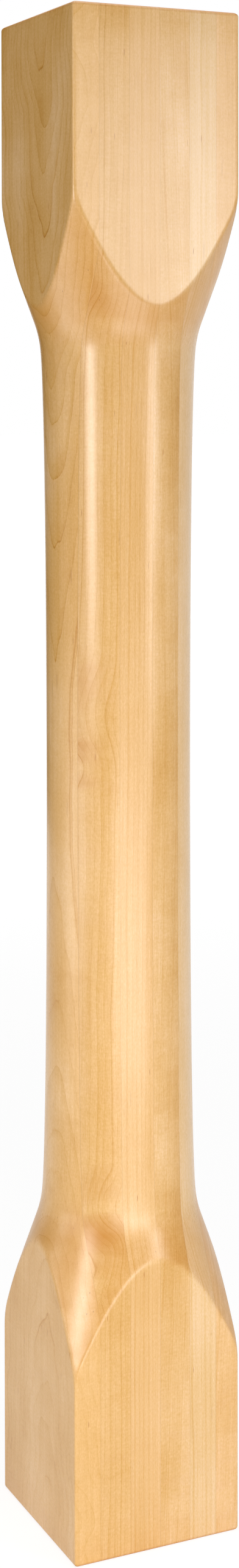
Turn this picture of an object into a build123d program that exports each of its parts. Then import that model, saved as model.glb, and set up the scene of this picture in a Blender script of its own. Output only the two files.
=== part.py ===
from build123d import *
from math import cos, radians, sin, sqrt, tan
import os

# A turned wooden post, 5 inches square and 42 1/4 inches tall, in millimetres.
# A square block stays at each end. Between them the wood is turned round: the shaft
# comes out of each block through a shoulder, a cone and a cove, and narrows in one
# long hollow sweep to its waist. Origin: centre of the foot, +Z up the post.

# The blank
post_height = 1073.15
blank_width = 127.0

# The turning, from each end towards the waist
block_length = 118.0  # where the cut first touches the corners of the blank
shoulder_radius = 75.0
cone_angle = 19.8  # how steeply the cone closes on the axis
cove_radius = 80.0
sweep_angle = 6.5  # how steeply the shaft leaves the cove
neck_diameter = 110.8  # where the cove hands over to the sweep
waist_diameter = 102.8  # the thinnest place, halfway up

# The sanding
crest_radius = 5.0  # the curved edge of each tongue, left soft
arris_radius = 1.5  # the long edges of the blocks
end_radius = 3.0  # the edges round the foot and the top

corner_reach = blank_width / sqrt(2)
neck_reach = neck_diameter / 2
waist_reach = waist_diameter / 2
half_height = post_height / 2

# The shoulder and the cove each take up part of the fall from the blank's corner to
# the neck. The cone is as long as the rest needs, so any size can change by itself.
shoulder_fall = shoulder_radius * (1 - cos(radians(cone_angle)))
cove_fall = cove_radius * (cos(radians(sweep_angle)) - cos(radians(cone_angle)))
cone_fall = corner_reach - neck_reach - shoulder_fall - cove_fall
cone_length = cone_fall / sin(radians(cone_angle))

# The sweep is one curve from neck to neck. Its two inner points lie on the tangents
# of the coves, as far in as the curve must be pulled to pass through the waist.
pull_reach = (4 * waist_reach - neck_reach) / 3
pull_length = (neck_reach - pull_reach) / tan(radians(sweep_angle))

# The lathe's plane holds the axis and one corner line of the blank, so the turned
# faces begin and end between two tongues. X is the reach, Y the height from the waist.
lathe = Plane(origin=(0, 0, half_height), x_dir=(1, 1, 0), z_dir=(1, -1, 0))

with BuildPart() as post:
    # Square blank
    with BuildSketch() as section:
        Rectangle(blank_width, blank_width)
    extrude(amount=post_height)

    # Turning: the tool leaves only what lies inside this outline, and a tongue stays
    # on each flat side where the blank is thinner than the cone.
    with BuildSketch(lathe) as turned:
        with BuildLine() as outline:
            foot = Line((0, -half_height), (corner_reach, -half_height))
            block = Line(foot @ 1, foot @ 1 + (0, block_length))
            shoulder = JernArc(block @ 1, (0, 1), shoulder_radius, cone_angle)
            cone = Line(shoulder @ 1, shoulder @ 1 + (shoulder % 1) * cone_length)
            cove = JernArc(cone @ 1, cone % 1, cove_radius, sweep_angle - cone_angle)
            mirror(about=Plane.XZ)
            neck = cove @ 1
            pull = Vector(pull_reach, neck.Y + pull_length)
            Bezier(neck, pull, (pull.X, -pull.Y), (neck.X, -neck.Y))
            Line((0, -half_height), (0, half_height))
        make_face()
    revolve(axis=Axis.Z, mode=Mode.INTERSECT)

    # Crests: the edges round the tongues
    flat_sides = post.faces().filter_by(GeomType.PLANE).filter_by(Axis.Z, reverse=True)
    crests = flat_sides.edges().filter_by(GeomType.LINE, reverse=True)
    fillet(crests, crest_radius)

    # Arrises: the upright edges of the two blocks, then the edges round both ends
    fillet(post.edges().filter_by(Axis.Z), arris_radius)
    fillet(post.faces().filter_by(Axis.Z).edges(), end_radius)

post.part.label = "post"

os.makedirs("parts", exist_ok=True)
export_step(post.part, "parts/post.step")

print("cone", round(cone_length, 1), "mm long,", len(crests), "crest edges,", len(post.faces()), "faces")
print("valid", post.part.is_valid, "volume", round(post.part.volume / 1e6, 3), "litres")
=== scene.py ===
# %% [markdown]
# # A turned maple post
#
# The object is one post, 5 inches square and 42 1/4 inches tall. It is glued up
# from six maple boards, planed square, and turned round between its two end
# blocks. Then it is sanded and given a thin satin finish.
#
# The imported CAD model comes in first. It fixes where everything is. All sizes
# here are in metres, in the model's own frame: +Z up, the foot's centre at 0.

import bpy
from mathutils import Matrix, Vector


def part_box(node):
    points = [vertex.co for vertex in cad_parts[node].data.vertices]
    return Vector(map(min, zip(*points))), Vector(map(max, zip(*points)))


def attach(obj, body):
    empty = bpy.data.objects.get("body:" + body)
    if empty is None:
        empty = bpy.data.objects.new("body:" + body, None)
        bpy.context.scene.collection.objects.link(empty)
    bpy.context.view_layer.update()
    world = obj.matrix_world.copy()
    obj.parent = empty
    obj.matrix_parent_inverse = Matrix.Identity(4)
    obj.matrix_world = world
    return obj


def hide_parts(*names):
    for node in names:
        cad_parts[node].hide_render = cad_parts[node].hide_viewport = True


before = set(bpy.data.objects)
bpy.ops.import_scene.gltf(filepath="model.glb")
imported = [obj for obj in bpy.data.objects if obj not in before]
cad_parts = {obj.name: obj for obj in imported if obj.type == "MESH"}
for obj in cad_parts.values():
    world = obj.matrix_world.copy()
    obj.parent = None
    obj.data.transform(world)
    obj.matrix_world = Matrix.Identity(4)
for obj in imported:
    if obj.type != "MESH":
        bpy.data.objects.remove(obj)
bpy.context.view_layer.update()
print("packed nodes:", sorted(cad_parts))

# %% The tools that the lesson uses
from math import cos, pi, radians, sin, sqrt, tan

import bpy
import numpy as np
from mathutils import Euler, Matrix, Vector

# %% [markdown]
# ## The camera
#
# The photo was taken a little above the middle of the post, from about 1.6 m.
# The picture is a narrow strip, and the lens's axis doesn't pass through its
# middle: the photographer cropped it, or shifted the lens. A shift in the camera
# does the same and keeps the post's sides as parallel as the photo has them.
# The numbers come from fitting a pinhole camera to the corners of the blocks.

# %% Camera
photo_width, photo_height = 392, 2576
focal_px = 3696.4
sight_x_px, sight_y_px = 130.0, 749.8  # where the lens's axis meets the picture
camera_place = Vector((-0.69012, -1.45310, 0.80886))
camera_down, camera_roll, camera_turn = radians(1.6376), radians(-0.0885), radians(24.4195)

camera_data = bpy.data.cameras.new("camera")
camera = bpy.data.objects.new("camera", camera_data)
bpy.context.scene.collection.objects.link(camera)
bpy.context.scene.camera = camera
camera_data.sensor_width = 36.0
camera_data.lens = focal_px * camera_data.sensor_width / photo_height
camera_data.shift_x = (photo_width / 2 - sight_x_px) / photo_height
camera_data.shift_y = (sight_y_px - photo_height / 2) / photo_height
turned = Euler((pi / 2 - camera_down, 0, -camera_turn)).to_matrix()
camera.matrix_world = Matrix.Translation(camera_place) @ (
    turned @ Matrix.Rotation(camera_roll, 3, "Z")
).to_4x4()
camera_data.clip_end = 100
print("lens", round(camera_data.lens, 2), "mm")

# %% [markdown]
# ## The turned form
#
# On the real post the boards are glued into a square blank. The lathe then cuts
# away all that lies outside one outline: a shoulder, a cone, a cove, and a long
# hollow sweep to the waist, the same at both ends.
#
# The outline could be drawn as a curve and spun, and the square cut from it with
# a boolean. That gives slivers along the tongues, which shade badly. Here the
# post is grown ring by ring from a square instead, and each ring is then brought
# in to the outline, as the gouge does.

# %% The sizes of the turning
top_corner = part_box("post")[1]
half_width, post_height = top_corner.x, top_corner.z

block_length = 0.118
shoulder_radius = 0.075
cone_angle = radians(19.8)
cove_radius = 0.080
sweep_angle = radians(6.5)
neck_reach = 0.0554
waist_reach = 0.0514
arris_radius = 0.0015
end_radius = 0.003
print("blank", round(2 * half_width, 4), "m square and", round(post_height, 4), "m tall")

# %% The turned outline
shoulder_points, cove_points, sweep_points = 25, 15, 80


def outline_of_one_end():
    """Heights and reaches of the turning, from the block's corner to the waist."""
    arc = np.linspace(0, cone_angle, shoulder_points)
    shoulder_z = block_length + shoulder_radius * np.sin(arc)
    shoulder_r = half_width * sqrt(2) - shoulder_radius * (1 - np.cos(arc))
    bend = np.linspace(cone_angle, sweep_angle, cove_points)
    cove_r = neck_reach + cove_radius * (cos(sweep_angle) - np.cos(bend))
    cone_drop = shoulder_r[-1] - cove_r[0]
    cove_top = shoulder_z[-1] + cone_drop / tan(cone_angle)
    cove_z = cove_top + cove_radius * (sin(cone_angle) - np.sin(bend))
    pull_r = (4 * waist_reach - neck_reach) / 3
    pull_z = cove_z[-1] + (neck_reach - pull_r) / tan(sweep_angle)
    t = np.linspace(0, 0.5, sweep_points)  # half of the sweep's curve, as far as the waist
    ends, pulls = (1 - t) ** 3, 3 * (1 - t) ** 2 * t
    far_pulls, far_ends = 3 * (1 - t) * t**2, t**3
    sweep_z = (
        ends * cove_z[-1]
        + pulls * pull_z
        + far_pulls * (post_height - pull_z)
        + far_ends * (post_height - cove_z[-1])
    )
    sweep_r = (ends + far_ends) * neck_reach + (pulls + far_pulls) * pull_r
    heights = np.concatenate([shoulder_z, cove_z, sweep_z[1:]])
    reaches = np.concatenate([shoulder_r, cove_r, sweep_r[1:]])
    return heights, reaches


outline_z, outline_r = outline_of_one_end()
beyond_corner = 2 * half_width


def turned_reach(heights):
    """The lathe's outline at any height. Outside the turned part it clears the blank."""
    from_end = np.minimum(heights, post_height - heights)
    reach = np.interp(from_end, outline_z, outline_r)
    return np.where(from_end < block_length, beyond_corner, reach)


neck_height = float(outline_z[shoulder_points + cove_points - 1])
print("neck", round(neck_height, 4), "m from each end, waist", round(float(outline_r[-1]), 4), "m")

# %% [markdown]
# ### Rings
#
# The blank's section is a square with eased corners. Its points are spread
# evenly along each flat side, with a few more round each arris. The rings lie
# close together where the tongues end, because the crest has to be fine there,
# and far apart on the plain block and the long shaft.

# %% The blank's section
points_on_flat = 78
points_on_arris = 5
points_on_side = points_on_flat + points_on_arris
ring_points = 4 * points_on_side


def blank_section():
    """Points round the blank, starting at the middle of the +X side."""
    flat = half_width - arris_radius
    steps = np.linspace(-flat, flat, points_on_flat + 1)
    side = np.stack([np.full(points_on_flat + 1, half_width), steps], axis=1)
    turn = np.linspace(0, pi / 2, points_on_arris + 1)[1:-1]
    arris = flat + arris_radius * np.stack([np.cos(turn), np.sin(turn)], axis=1)
    quarter = np.concatenate([side, arris])
    parts = []
    for quarter_turn in range(4):
        angle = quarter_turn * pi / 2
        rotate = np.array([[cos(angle), -sin(angle)], [sin(angle), cos(angle)]])
        parts.append(quarter @ rotate.T)
    return np.roll(np.concatenate(parts), -(points_on_flat // 2), axis=0)


section = blank_section()
print("points round the blank:", len(section))

# %% The heights of the rings
cove_start = neck_height - 0.018  # from here to the waist the section is round
waist_start = 0.36
tongue_step, cove_step, shaft_step = 0.00145, 0.002, 0.006
round_over_rings, block_rings, waist_rings = 7, 6, 12
least_gap = 0.00005


def stations():
    """Works out the rings of the foot's end and mirrors them for the top's."""
    round_over = end_radius * (1 - np.cos(np.linspace(0, pi / 2, round_over_rings)))
    block = np.linspace(end_radius, block_length, block_rings)
    tongue = np.arange(block_length, cove_start, tongue_step)
    cove = np.arange(cove_start, neck_height, cove_step)
    shaft = np.arange(neck_height, waist_start, shaft_step)
    waist = np.linspace(waist_start, post_height / 2, waist_rings)
    one_end = np.unique(np.concatenate([round_over, block, tongue, cove, shaft, waist]).round(6))
    one_end = one_end[np.concatenate([[True], np.diff(one_end) > least_gap])]
    return np.concatenate([one_end, post_height - one_end[-2::-1]])


ring_heights = stations()
print("rings:", len(ring_heights))

# %% [markdown]
# ### Sanding
#
# Where the turned surface meets a flat side, the wood is left with a crest.
# Sandpaper takes its sharpness off. The smaller of two reaches has a hard
# crease where they cross, and a smooth minimum rounds that crease by a set
# depth. The lower tongues were sanded softer than the upper ones.

# %% Bring every point in to the turned surface
crest_softness_top = 0.0008
crest_softness_foot = 0.0010


def soft_minimum(first, second, softness):
    """The smaller of two reaches, with the crease between them rounded off."""
    nearness = np.clip(1 - np.abs(first - second) / softness, 0, None)
    return np.minimum(first, second) - nearness**2 * softness / 4


def carve(points):
    """Moves the points of a plain prism onto the finished post."""
    turn = np.arctan2(points[:, 1], points[:, 0])
    number = np.round(turn / (2 * pi / ring_points))
    flat_xy = section[number.astype(int) % ring_points]
    heights = points[:, 2]
    from_end = np.minimum(heights, post_height - heights)
    lean = np.clip(end_radius - from_end, 0, None)
    pulled_in = end_radius - np.sqrt(np.clip(end_radius**2 - lean**2, 0, None))
    xy = flat_xy * (1 - pulled_in / half_width)[:, None]
    blank_reach = np.hypot(xy[:, 0], xy[:, 1])
    share = heights / post_height
    softness = crest_softness_foot + (crest_softness_top - crest_softness_foot) * share
    reach = soft_minimum(blank_reach, turned_reach(heights), softness)
    xy = xy * (reach / blank_reach)[:, None]
    return np.column_stack([xy, heights])


print("crest softness", crest_softness_foot, "m at the foot,", crest_softness_top, "m at the top")

# %% Model the post
bpy.ops.object.select_all(action="DESELECT")
bpy.ops.mesh.primitive_circle_add(
    vertices=ring_points, radius=half_width, fill_type="NGON", location=(0, 0, 0)
)
post = bpy.context.object
post.name = "maple_post"
bpy.ops.object.mode_set(mode="EDIT")
bpy.ops.mesh.select_all(action="SELECT")
for step in np.diff(ring_heights):
    bpy.ops.mesh.extrude_region_move(
        MESH_OT_extrude_region={}, TRANSFORM_OT_translate={"value": (0, 0, float(step))}
    )
bpy.ops.object.mode_set(mode="OBJECT")

points = np.empty(len(post.data.vertices) * 3)
post.data.vertices.foreach_get("co", points)
post.data.vertices.foreach_set("co", carve(points.reshape(-1, 3)).ravel())
post.data.update()

bpy.ops.object.mode_set(mode="EDIT")
bpy.ops.mesh.select_all(action="SELECT")
bpy.ops.mesh.normals_make_consistent(inside=False)
bpy.ops.object.mode_set(mode="OBJECT")
bpy.ops.object.shade_smooth()
print("post:", len(post.data.vertices), "points,", len(post.data.polygons), "faces")

# %% Put the post in the model's place
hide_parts("post")
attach(post, "root")
print(post.name, "stands for the model's post")

# %% [markdown]
# ## Maple, worked out in the solid
#
# A turned post shows its wood from every side. One flat side cuts a board along
# its face, the next along its edge, and the coves cut across the grain in
# swirls. A flat picture of grain wrapped round the post gets none of that
# right. So the pattern is a solid one: for any point inside the blank it says
# which board the point is in, and how far it is from the middle of that
# board's tree. The turned surface then shows whatever it happens to cut.
#
# A shader does such sums with one node for each step. A small class lets them
# be written as sums in Python instead.


# %% A class for sums in the shader
class Value:
    """A number, place or colour that flows from one shader node to the next."""

    tree = None

    def __init__(self, socket):
        self.socket = socket

    @classmethod
    def node(cls, kind, settings, sockets, output=0):
        """Adds a node, sets its settings first, then fills its sockets."""
        made = cls.tree.nodes.new("ShaderNode" + kind)
        for name, setting in settings.items():
            setattr(made, name, setting)
        for name, value in sockets.items():
            if isinstance(value, Value):
                cls.tree.links.new(value.socket, made.inputs[name])
            else:
                made.inputs[name].default_value = value
        return cls(made.outputs[output]) if made.outputs else None

    def math(self, operation, *others):
        """Adds a Math node. The first value may be a plain number."""
        return Value.node("Math", {"operation": operation}, dict(enumerate((self, *others))))

    def __add__(self, other):
        return self.math("ADD", other)

    def __sub__(self, other):
        return self.math("SUBTRACT", other)

    def __rsub__(self, other):
        return Value.math(other, "SUBTRACT", self)

    def __mul__(self, other):
        return self.math("MULTIPLY", other)

    def __truediv__(self, other):
        return self.math("DIVIDE", other)

    def __rtruediv__(self, other):
        return Value.math(other, "DIVIDE", self)

    def __pow__(self, other):
        return self.math("POWER", other)

    def __rpow__(self, other):
        return Value.math(other, "POWER", self)

    __radd__, __rmul__ = __add__, __mul__

    def outputs(self):
        """All the outputs of this value's node."""
        return self.socket.node.outputs


def new_tree(owner):
    """Empties the tree of a material or a world, so that the next nodes go into it."""
    owner.use_nodes = True
    Value.tree = owner.node_tree
    Value.tree.nodes.clear()


# %% Parts, masks and colours
def parts_of(value, how="SeparateXYZ"):
    """The three parts of a place, a direction or a colour."""
    return [Value(socket) for socket in Value.node(how, {}, {0: value}).outputs()]


def rise(value, start, end):
    """0 before start, 1 after end, and a smooth rise between them."""
    sockets = {"Value": value, "From Min": start, "From Max": end}
    return Value.node("MapRange", {"interpolation_type": "SMOOTHSTEP"}, sockets)


def blend(factor, first, second, how="MIX"):
    """Mixes two colours. A Mix node has them on its sockets 6 and 7, and output 2."""
    settings = {"data_type": "RGBA", "blend_type": how, "clamp_factor": True}
    return Value.node("Mix", settings, {0: factor, 6: first, 7: second}, output=2)


def screen(red, green, blue):
    """A colour as a screen shows it, 0 to 255, in the linear numbers of a shader."""
    parts = [c / 255 for c in (red, green, blue)]
    linear = [p / 12.92 if p <= 0.04045 else ((p + 0.055) / 1.055) ** 2.4 for p in parts]
    return (*linear, 1)


# %% [markdown]
# ### The six boards
#
# The boards stand side by side across X. Their glue lines run the whole height.
# The whole left side of the post is cut from the first board, and the right side
# from the last. Each board has its own tree: where its pith was, how much the
# trunk leaned, how fast it grew, and how light its wood is. Lengths are in
# millimetres.
#
# - pith_x, pith_y: the middle of the growth rings, from the post's axis
# - lean_x, lean_y: how far the pith shifts for each millimetre of height
# - crook, crook_z: a bend in the trunk, and the height where it turns. It makes
#   the arches on the left side point down above it and up below it
# - ring: the growth of one year
# - line: how dark the edge of each ring is
# - wave, kink, snake: how far the rings wander, how ragged they are, and how far
#   the pith strays sideways
# - dive_x, dive_y: how far the fibres lean out of the vertical
# - figure: how strongly light and dark bands cross the grain
# - cloudy: how uneven the tone is
# - gum: how dark its streaks of gum are
# - painted_shade_right: painted shade, how much darker the board is painted where its surface turns
#   to the right

# %% The boards
glue_lines = (-44.0, -21.0, 2.0, 25.0, 45.5)
boards = [
    dict(pith_x=-190, pith_y=-12, lean_x=0.0, lean_y=0.0, crook=0.19, crook_z=540, ring=6.2,
         line=0.85, wave=1.0, kink=1.0, snake=10, dive_x=0.02, dive_y=0.0, figure=0.8,
         cloudy=1.5, gum=1.0, painted_shade_right=0.0, tone=screen(240, 191, 122)),
    dict(pith_x=56, pith_y=-50, lean_x=0.012, lean_y=0.0, crook=0.0, crook_z=0, ring=4.3,
         line=0.60, wave=2.4, kink=0.6, snake=0, dive_x=0.05, dive_y=0.02, figure=1.0,
         cloudy=1.0, gum=0.4, painted_shade_right=0.0, tone=screen(236, 188, 120)),
    dict(pith_x=150, pith_y=-40, lean_x=0.006, lean_y=0.0, crook=0.0, crook_z=0, ring=3.3,
         line=0.42, wave=1.1, kink=0.15, snake=0, dive_x=0.02, dive_y=0.10, figure=0.35,
         cloudy=0.5, gum=0.3, painted_shade_right=0.0, tone=screen(240, 194, 131)),
    dict(pith_x=-72, pith_y=-30, lean_x=0.012, lean_y=0.02, crook=-0.05, crook_z=560, ring=1.7,
         line=0.30, wave=1.4, kink=0.25, snake=0, dive_x=0.15, dive_y=0.04, figure=1.0,
         cloudy=1.8, gum=0.3, painted_shade_right=0.22, tone=screen(240, 196, 136)),
    dict(pith_x=152, pith_y=12, lean_x=-0.01, lean_y=0.01, crook=0.0, crook_z=0, ring=3.1,
         line=0.28, wave=1.3, kink=0.18, snake=0, dive_x=-0.05, dive_y=0.02, figure=0.35,
         cloudy=0.6, gum=0.4, painted_shade_right=0.0, tone=screen(242, 203, 149)),
    dict(pith_x=-75, pith_y=-30, lean_x=0.055, lean_y=0.0, crook=-0.055, crook_z=190, ring=3.2,
         line=0.36, wave=1.5, kink=0.3, snake=0, dive_x=0.06, dive_y=0.06, figure=0.9,
         cloudy=1.0, gum=0.4, painted_shade_right=0.0, tone=screen(240, 193, 130)),
]
print(len(boards), "boards, glued at x =", *glue_lines, "mm")

# %% Which board a point is in
maple = bpy.data.materials.new("satin_maple")
new_tree(maple)

mm_per_metre = 1000.0
place = Value.node("TexCoord", {}, {}, "Object")
place_mm = Value.node("VectorMath", {"operation": "SCALE"}, {0: place, "Scale": mm_per_metre})
x, y, z = parts_of(place_mm)
past_glue = [x.math("GREATER_THAN", line) for line in glue_lines]


def by_board(name):
    """A board's own number at every point: it changes only at the glue lines."""
    total = boards[0][name]
    for past, before, after in zip(past_glue, boards, boards[1:]):
        if after[name] != before[name]:
            total = total + past * (after[name] - before[name])
    return total


in_first_board = 1 - past_glue[0]
board_number = past_glue[0]
for past in past_glue[1:]:
    board_number = board_number + past

board_shift = 700.0  # each board's pattern is taken from its own height
own_place = Value.node("CombineXYZ", {}, {0: x, 1: y, 2: z + board_number * board_shift})


def stretched(across, along, drift):
    """Counts places in steps that are as wide and as long as given, in mm."""
    scale = (1 / across, 1 / across, 1 / along)
    sockets = {0: own_place, 1: scale, 2: (drift,) * 3}
    return Value.node("VectorMath", {"operation": "MULTIPLY_ADD"}, sockets)


def cloud(across, along, drift, detail=2.0, roughness=0.5):
    """Soft random patches, mostly between -1 and 1."""
    sockets = {"Vector": stretched(across, along, drift), "Scale": 1.0}
    sockets |= {"Detail": detail, "Roughness": roughness}
    return Value.node("TexNoise", {}, sockets) * 4 - 2


# %% [markdown]
# ### Growth rings
#
# The distance to the pith, divided by a year's growth, counts the years. The
# whole part is the year, and the rest says how far through it the wood was
# laid down. Maple is pale through most of the year and ends it in one thin
# brown line, so the line is made from what is left of the year, in millimetres.
# No two years are alike: a random number for each sets how dark its line is. The
# first board is quiet where it comes to the front face, and its lines are fainter
# low on the post.
#
# Where a twig once grew, the rings go round it. The second board has three such
# places, and the lathe has cut two of them open at the coves. Each push below
# moves the rings outward or inward round one point. It also leans the fibres, so
# the wood there is cut more steeply above and below the point. The pushes fade out
# before the front face, where the photo shows straight lines.

# %% Rings
crook_reach = 250.0  # how gently the trunk bends, in mm of height
from_crook = z - by_board("crook_z")
bend = (from_crook * from_crook + crook_reach**2).math("SQRT")
wander = cloud(34, 210, drift=2)
ragged = cloud(14, 85, drift=9, detail=1)
snake = cloud(400, 60, drift=13)
from_pith_x = x - by_board("pith_x") - by_board("lean_x") * z - by_board("crook") * bend
from_pith_y = y - by_board("pith_y") - by_board("lean_y") * z - snake * by_board("snake")
to_pith = (from_pith_x * from_pith_x + from_pith_y * from_pith_y).math("SQRT")
near_front = -63.0  # just behind the front face, in mm
calm_depth = 9.0
calm = in_first_board * (1 - rise(y, near_front, near_front + calm_depth))
grown = to_pith + wander * by_board("wave") + ragged * by_board("kink") * (1 - calm * 0.8)
print("rings drawn for", len(boards), "boards")

# %% Twigs
twigs = [  # the centre, how far the push reaches, and how far it moves the rings, in mm
    ((-32, -48, 240), 32, -8.0),
    ((-32, -52, 203), 36, 14.0),
    ((-33, -52, 903), 46, 17.0),
    ((-46, -30, 585), 48, -9.0),
    ((-44, -32, 549), 20, 5.0),
]
twig_depth = 13.0
steepening = 6.0  # how much more the fibres lean than the rings do
round_twigs = (past_glue[0] - past_glue[1]) * rise(y, near_front, near_front + twig_depth)
twig_lean = 0.0
for centre, reach, push in twigs:
    away = Value.node("VectorMath", {"operation": "DISTANCE"}, {0: place_mm, 1: centre}, "Value")
    grown = grown + (1 - rise(away, 0.0, reach)) * push * round_twigs
    nearness = (1 - away / reach).math("MAXIMUM", 0.0)
    twig_lean = twig_lean + (z - centre[2]) * nearness * (steepening * push / reach**2)
print(len(twigs), "pushes by twigs")

# %% The years, and the line that ends each
ring = by_board("ring")
even_years = grown / ring
lots_apart = 40  # no two boards share their run of good and bad years
weather = even_years * 0.8 + board_number * lots_apart
uneven = Value.node("TexNoise", {"noise_dimensions": "1D"}, {"W": weather, "Scale": 1.0})
years = even_years + uneven * 1.3
through_year = years.math("FRACT")
years_apart = 90
year = years.math("FLOOR") + board_number * years_apart
year_lot = Value.node("TexWhiteNoise", {"noise_dimensions": "1D"}, {"W": year})
left_mm = (1 - through_year) * ring
line_mm = 0.5 - in_first_board * 0.2
late_line = (1 - rise(left_mm, 0.0, line_mm)) * rise(through_year * ring, 0.0, 0.15)
late_line = late_line * (year_lot * 0.75 + 0.25) * (1 - calm * 0.9)
print("rings use", len(Value.tree.nodes), "nodes")

# %% [markdown]
# ### Fibres, bands, flecks and gum
#
# Between the rings, maple shows fine fibres, and light and dark bands across the
# grain where the fibres wave. A few dark flecks and thin streaks of gum run
# with the grain.

# %% Marks in the wood
fibres = cloud(0.7, 24, drift=3, detail=3, roughness=0.6)
pores = cloud(0.5, 2.2, drift=5, detail=1)
streaks = cloud(3.5, 170, drift=17)
silk = cloud(3.0, 1.5, drift=23, detail=1)
tilt_x = cloud(20, 13, drift=41, detail=1)
tilt_y = cloud(30, 9, drift=47, detail=1)
patches = cloud(42, 90, drift=53, detail=1)


def specks(across, along, size, drift):
    """Small marks drawn out along the grain, some of them darker than others."""
    sockets = {"Vector": stretched(across, along, drift), "Scale": 1.0}
    near = Value.node("TexVoronoi", {}, sockets)
    lot = parts_of(Value(near.outputs()["Color"]), "SeparateColor")[0]
    return (1 - rise(near, size * 0.4, size)) * rise(lot, 0.3, 0.9)


flecks = specks(3.5, 45, 0.075, drift=5)
gum = specks(3.6, 110, 0.08, drift=61) * by_board("gum")
print("with the marks,", len(Value.tree.nodes), "nodes")

# %% [markdown]
# ### Colour
#
# Every mark is a small change to the board's own tone, save one: a painted
# shade makes one board darker where its surface turns to the right. Where the
# turning cuts across the fibres, as in the coves and at both ends, the finish
# soaks in and the wood is darker and more golden. The surface's own direction
# says how steeply it cuts them. A darker tint is also a warmer one: green falls
# faster than red, and blue faster still.

# %% How steeply the surface cuts the fibres
normal_x, normal_y, normal_z = parts_of(Value.node("NewGeometry", {}, {}, "Normal"))
figure = by_board("figure")
fibre_x = by_board("dive_x") - twig_lean * round_twigs + tilt_x * figure * 0.12
fibre_y = by_board("dive_y") + tilt_y * figure * 0.10
dive = normal_z + normal_x * fibre_x + normal_y * fibre_y
flat_dive = 0.03
cut_across = (dive * dive + flat_dive**2).math("SQRT")
soak = (cut_across * 1.05).math("MINIMUM", 0.85)
print("fibres lean by up to", max(board["dive_x"] for board in boards), "of their height")

# %% Colour
colour = boards[0]["tone"]
for past, board in zip(past_glue, boards[1:]):
    colour = blend(past, colour, board["tone"])

faint_below, full_above = 250.0, 700.0  # heights, in mm
fainter_low = 1 - in_first_board * (1 - rise(z, faint_below, full_above)) * 0.35
line_strength = by_board("line") * (cut_across * 1.6 + 1) * fainter_low
darkening = through_year**4 * line_strength * 0.085
shade = (
    1
    - darkening
    - late_line * line_strength * 0.27
    + (year_lot - 0.5) * 0.022
    + fibres * 0.030
    + pores * 0.045
    + streaks * 0.028
    + silk * figure * 0.028
    + (tilt_x + tilt_y) * figure * 0.014
    # painted shade: the board is painted darker where its surface turns to the right
    - by_board("painted_shade_right") * normal_x.math("MAXIMUM", 0.0)
    + patches * by_board("cloudy") * (1 - calm * 0.7) * 0.06
)
green_fall, blue_fall = 1.8, 4.4
tint = Value.node("CombineXYZ", {}, {0: shade, 1: shade**green_fall, 2: shade**blue_fall})
colour = blend(1.0, colour, tint, "MULTIPLY")

# %% Soaked wood, glue lines, flecks and gum
soaked_maple = screen(202, 132, 32)
glue_brown = screen(165, 105, 50)
fleck_brown = screen(170, 86, 20)
gum_brown = screen(150, 78, 18)

colour = blend(soak, colour, soaked_maple)
glue_gap = (x - glue_lines[0]).math("ABSOLUTE")
for line in glue_lines[1:]:
    glue_gap = glue_gap.math("MINIMUM", (x - line).math("ABSOLUTE"))
colour = blend((1 - rise(glue_gap, 0.05, 0.30)) * 0.20, colour, glue_brown)
colour = blend(flecks * 0.8, colour, fleck_brown)
colour = blend(gum * 0.85, colour, gum_brown)
print("with the colours,", len(Value.tree.nodes), "nodes")

# %% [markdown]
# ### Satin finish
#
# The finish is a thin satin coat, sanded between coats. It leaves broad, soft
# highlights, a little duller where the end grain has drunk it.

# %% Satin finish
relief = fibres * 0.35 + pores * 0.25 - late_line * 0.3
bumps = Value.node("Bump", {}, {"Strength": 0.02, "Distance": 0.0002, "Height": relief})
satin = 0.25
dullness = satin + fibres * 0.015 + late_line * 0.04 + soak * 0.12
finish = Value.node(
    "BsdfPrincipled",
    {},
    {"Base Color": colour, "Roughness": dullness, "Normal": bumps, "IOR": 1.5},
)
Value.node("OutputMaterial", {}, {"Surface": finish})
post.data.materials.append(maple)
print("maple:", len(Value.tree.nodes), "nodes")

# %% [markdown]
# ## The floor and the light
#
# The studio is white all round. The camera sees a white floor and a white
# background. Where it looks at the floor it sees mostly plain white, and a part
# of the floor's own shade, so that the post keeps a soft shadow.


# %% What only the camera and the gloss see
def seen_directly():
    """1 for rays from the camera, a shiny surface or glass, and 0 for the rest."""
    path = Value.node("LightPath", {}, {}).outputs()
    camera_ray, glossy_ray = Value(path["Is Camera Ray"]), Value(path["Is Glossy Ray"])
    return (camera_ray + glossy_ray + Value(path["Is Transmission Ray"])).math("MINIMUM", 1.0)


# %% Floor
bpy.ops.object.select_all(action="DESELECT")
floor_radius = 40
bpy.ops.mesh.primitive_circle_add(
    vertices=96, radius=floor_radius, fill_type="NGON", location=(0, 0, 0)
)
floor = bpy.context.object
floor.name = "floor"

paper = bpy.data.materials.new("white_paper")
new_tree(paper)
plain_light = 1.24  # makes up for the floor's own shade, so that the two add up to white
floor_place = Value.node("TexCoord", {}, {}, "Object")
from_post = Value.node("VectorMath", {"operation": "LENGTH"}, {0: floor_place}, "Value")
near_share, far_share = 0.7, 0.82
plain_share = rise(from_post, 0.3, 3.0) * (far_share - near_share) + near_share
own_shade = Value.node("BsdfDiffuse", {}, {"Color": (0.85, 0.85, 0.85, 1)})
plain_white = Value.node("Emission", {}, {"Color": (1, 1, 1, 1), "Strength": plain_light})
mixed = Value.node("MixShader", {}, {0: seen_directly() * plain_share, 1: own_shade, 2: plain_white})
Value.node("OutputMaterial", {}, {"Surface": mixed})
floor.data.materials.append(paper)
print("floor", 2 * floor_radius, "m across")

# %% [markdown]
# The lamps follow the shading in the photo. Two bright streaks run down the
# shaft: a soft box stands to the left of the camera and another to the right.
# The lower block is lighter than the upper one, so two broad low boxes stand in
# front and at the left. One hangs overhead and lights the floor, which throws
# light back up at the post.
#
# Beside each of the two tall boxes stands a strip light that only the satin sees.
# It makes the streak paler, as in the photo, and leaves the wood's own tone alone.


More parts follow.
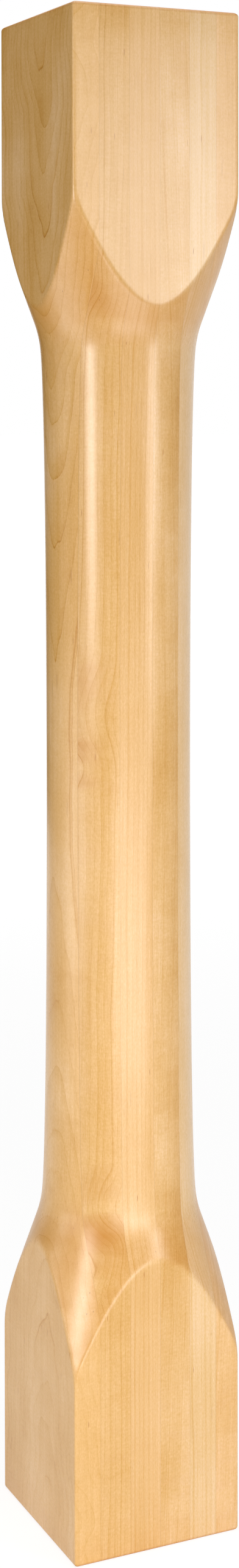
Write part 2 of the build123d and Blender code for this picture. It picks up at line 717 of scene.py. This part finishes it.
# %% Soft boxes
def soft_box(name, azimuth, distance, height, width, tall, power):
    """A flat lamp that faces the post. Azimuth 0 stands in front of the -Y side."""
    lamp = bpy.data.lights.new(name, "AREA")
    lamp.shape = "RECTANGLE"
    lamp.size, lamp.size_y = width, tall
    lamp.energy = power
    holder = bpy.data.objects.new(name, lamp)
    bpy.context.scene.collection.objects.link(holder)
    angle = radians(azimuth)
    holder.location = (distance * sin(angle), -distance * cos(angle), height)
    holder.rotation_euler = (pi / 2, 0, angle)
    return holder


soft_box("left_box", azimuth=-65, distance=2.0, height=0.76, width=0.36, tall=0.7, power=8.0)
soft_box("left_side_box", azimuth=-95, distance=1.3, height=0.22, width=0.9, tall=0.4, power=3.4)
soft_box("low_box", azimuth=-8, distance=1.2, height=0.15, width=1.2, tall=0.3, power=7.0)
soft_box("right_box", azimuth=27, distance=2.0, height=0.82, width=0.42, tall=0.9, power=10.3)
overhead = soft_box(
    "overhead", azimuth=0, distance=0.0, height=2.2, width=1.2, tall=1.2, power=13.0
)
overhead.rotation_euler = (0, 0, 0)
left_strip = soft_box(
    "left_strip", azimuth=-68, distance=2.0, height=0.88, width=0.40, tall=0.9, power=9.0
)
right_strip = soft_box(
    "right_strip", azimuth=34, distance=2.0, height=0.95, width=0.30, tall=0.8, power=1.0
)
left_strip.visible_diffuse = right_strip.visible_diffuse = False
print("lamps:", sorted(lamp.name for lamp in bpy.data.lights))

# %% [markdown]
# The left side of the post is seen at a low angle, and at a low angle even a
# satin finish is a fair mirror. It would show the white studio behind it and
# turn pale. A photographer puts a dark card there, out of the picture, and so
# does this scene. The card takes no light: only reflections see it.

# %% Dark card
bpy.ops.object.select_all(action="DESELECT")
card_azimuth, card_distance, card_height, card_side = radians(-157), 1.5, 1.05, 1.7
bpy.ops.mesh.primitive_plane_add(
    size=card_side,
    location=(
        card_distance * sin(card_azimuth),
        -card_distance * cos(card_azimuth),
        card_height,
    ),
    rotation=(pi / 2, 0, card_azimuth),
)
card = bpy.context.object
card.name = "dark_card"
card.visible_camera = card.visible_diffuse = card.visible_shadow = False
card.visible_transmission = False
felt = bpy.data.materials.new("dark_felt")
new_tree(felt)
matt_black = Value.node("BsdfDiffuse", {}, {"Color": (0.03, 0.03, 0.03, 1)})
Value.node("OutputMaterial", {}, {"Surface": matt_black})
card.data.materials.append(felt)
print("dark card", card_side, "m wide, behind the left side")

# %% [markdown]
# The studio itself comes last. It lights the post faintly from all round, so that
# no side is black. The camera and the gloss see it fully white.

# %% The white studio round it
world = bpy.data.worlds.new("studio")
bpy.context.scene.world = world
new_tree(world)
ambient = 0.10
strength = seen_directly() * (1 - ambient) + ambient
sky = Value.node("Background", {}, {"Color": (1, 1, 1, 1), "Strength": strength})
Value.node("OutputWorld", {}, {"Surface": sky})
print("the studio lights the post at", ambient, "of its white")

# %% Finish
bpy.context.scene.view_settings.view_transform = "Standard"
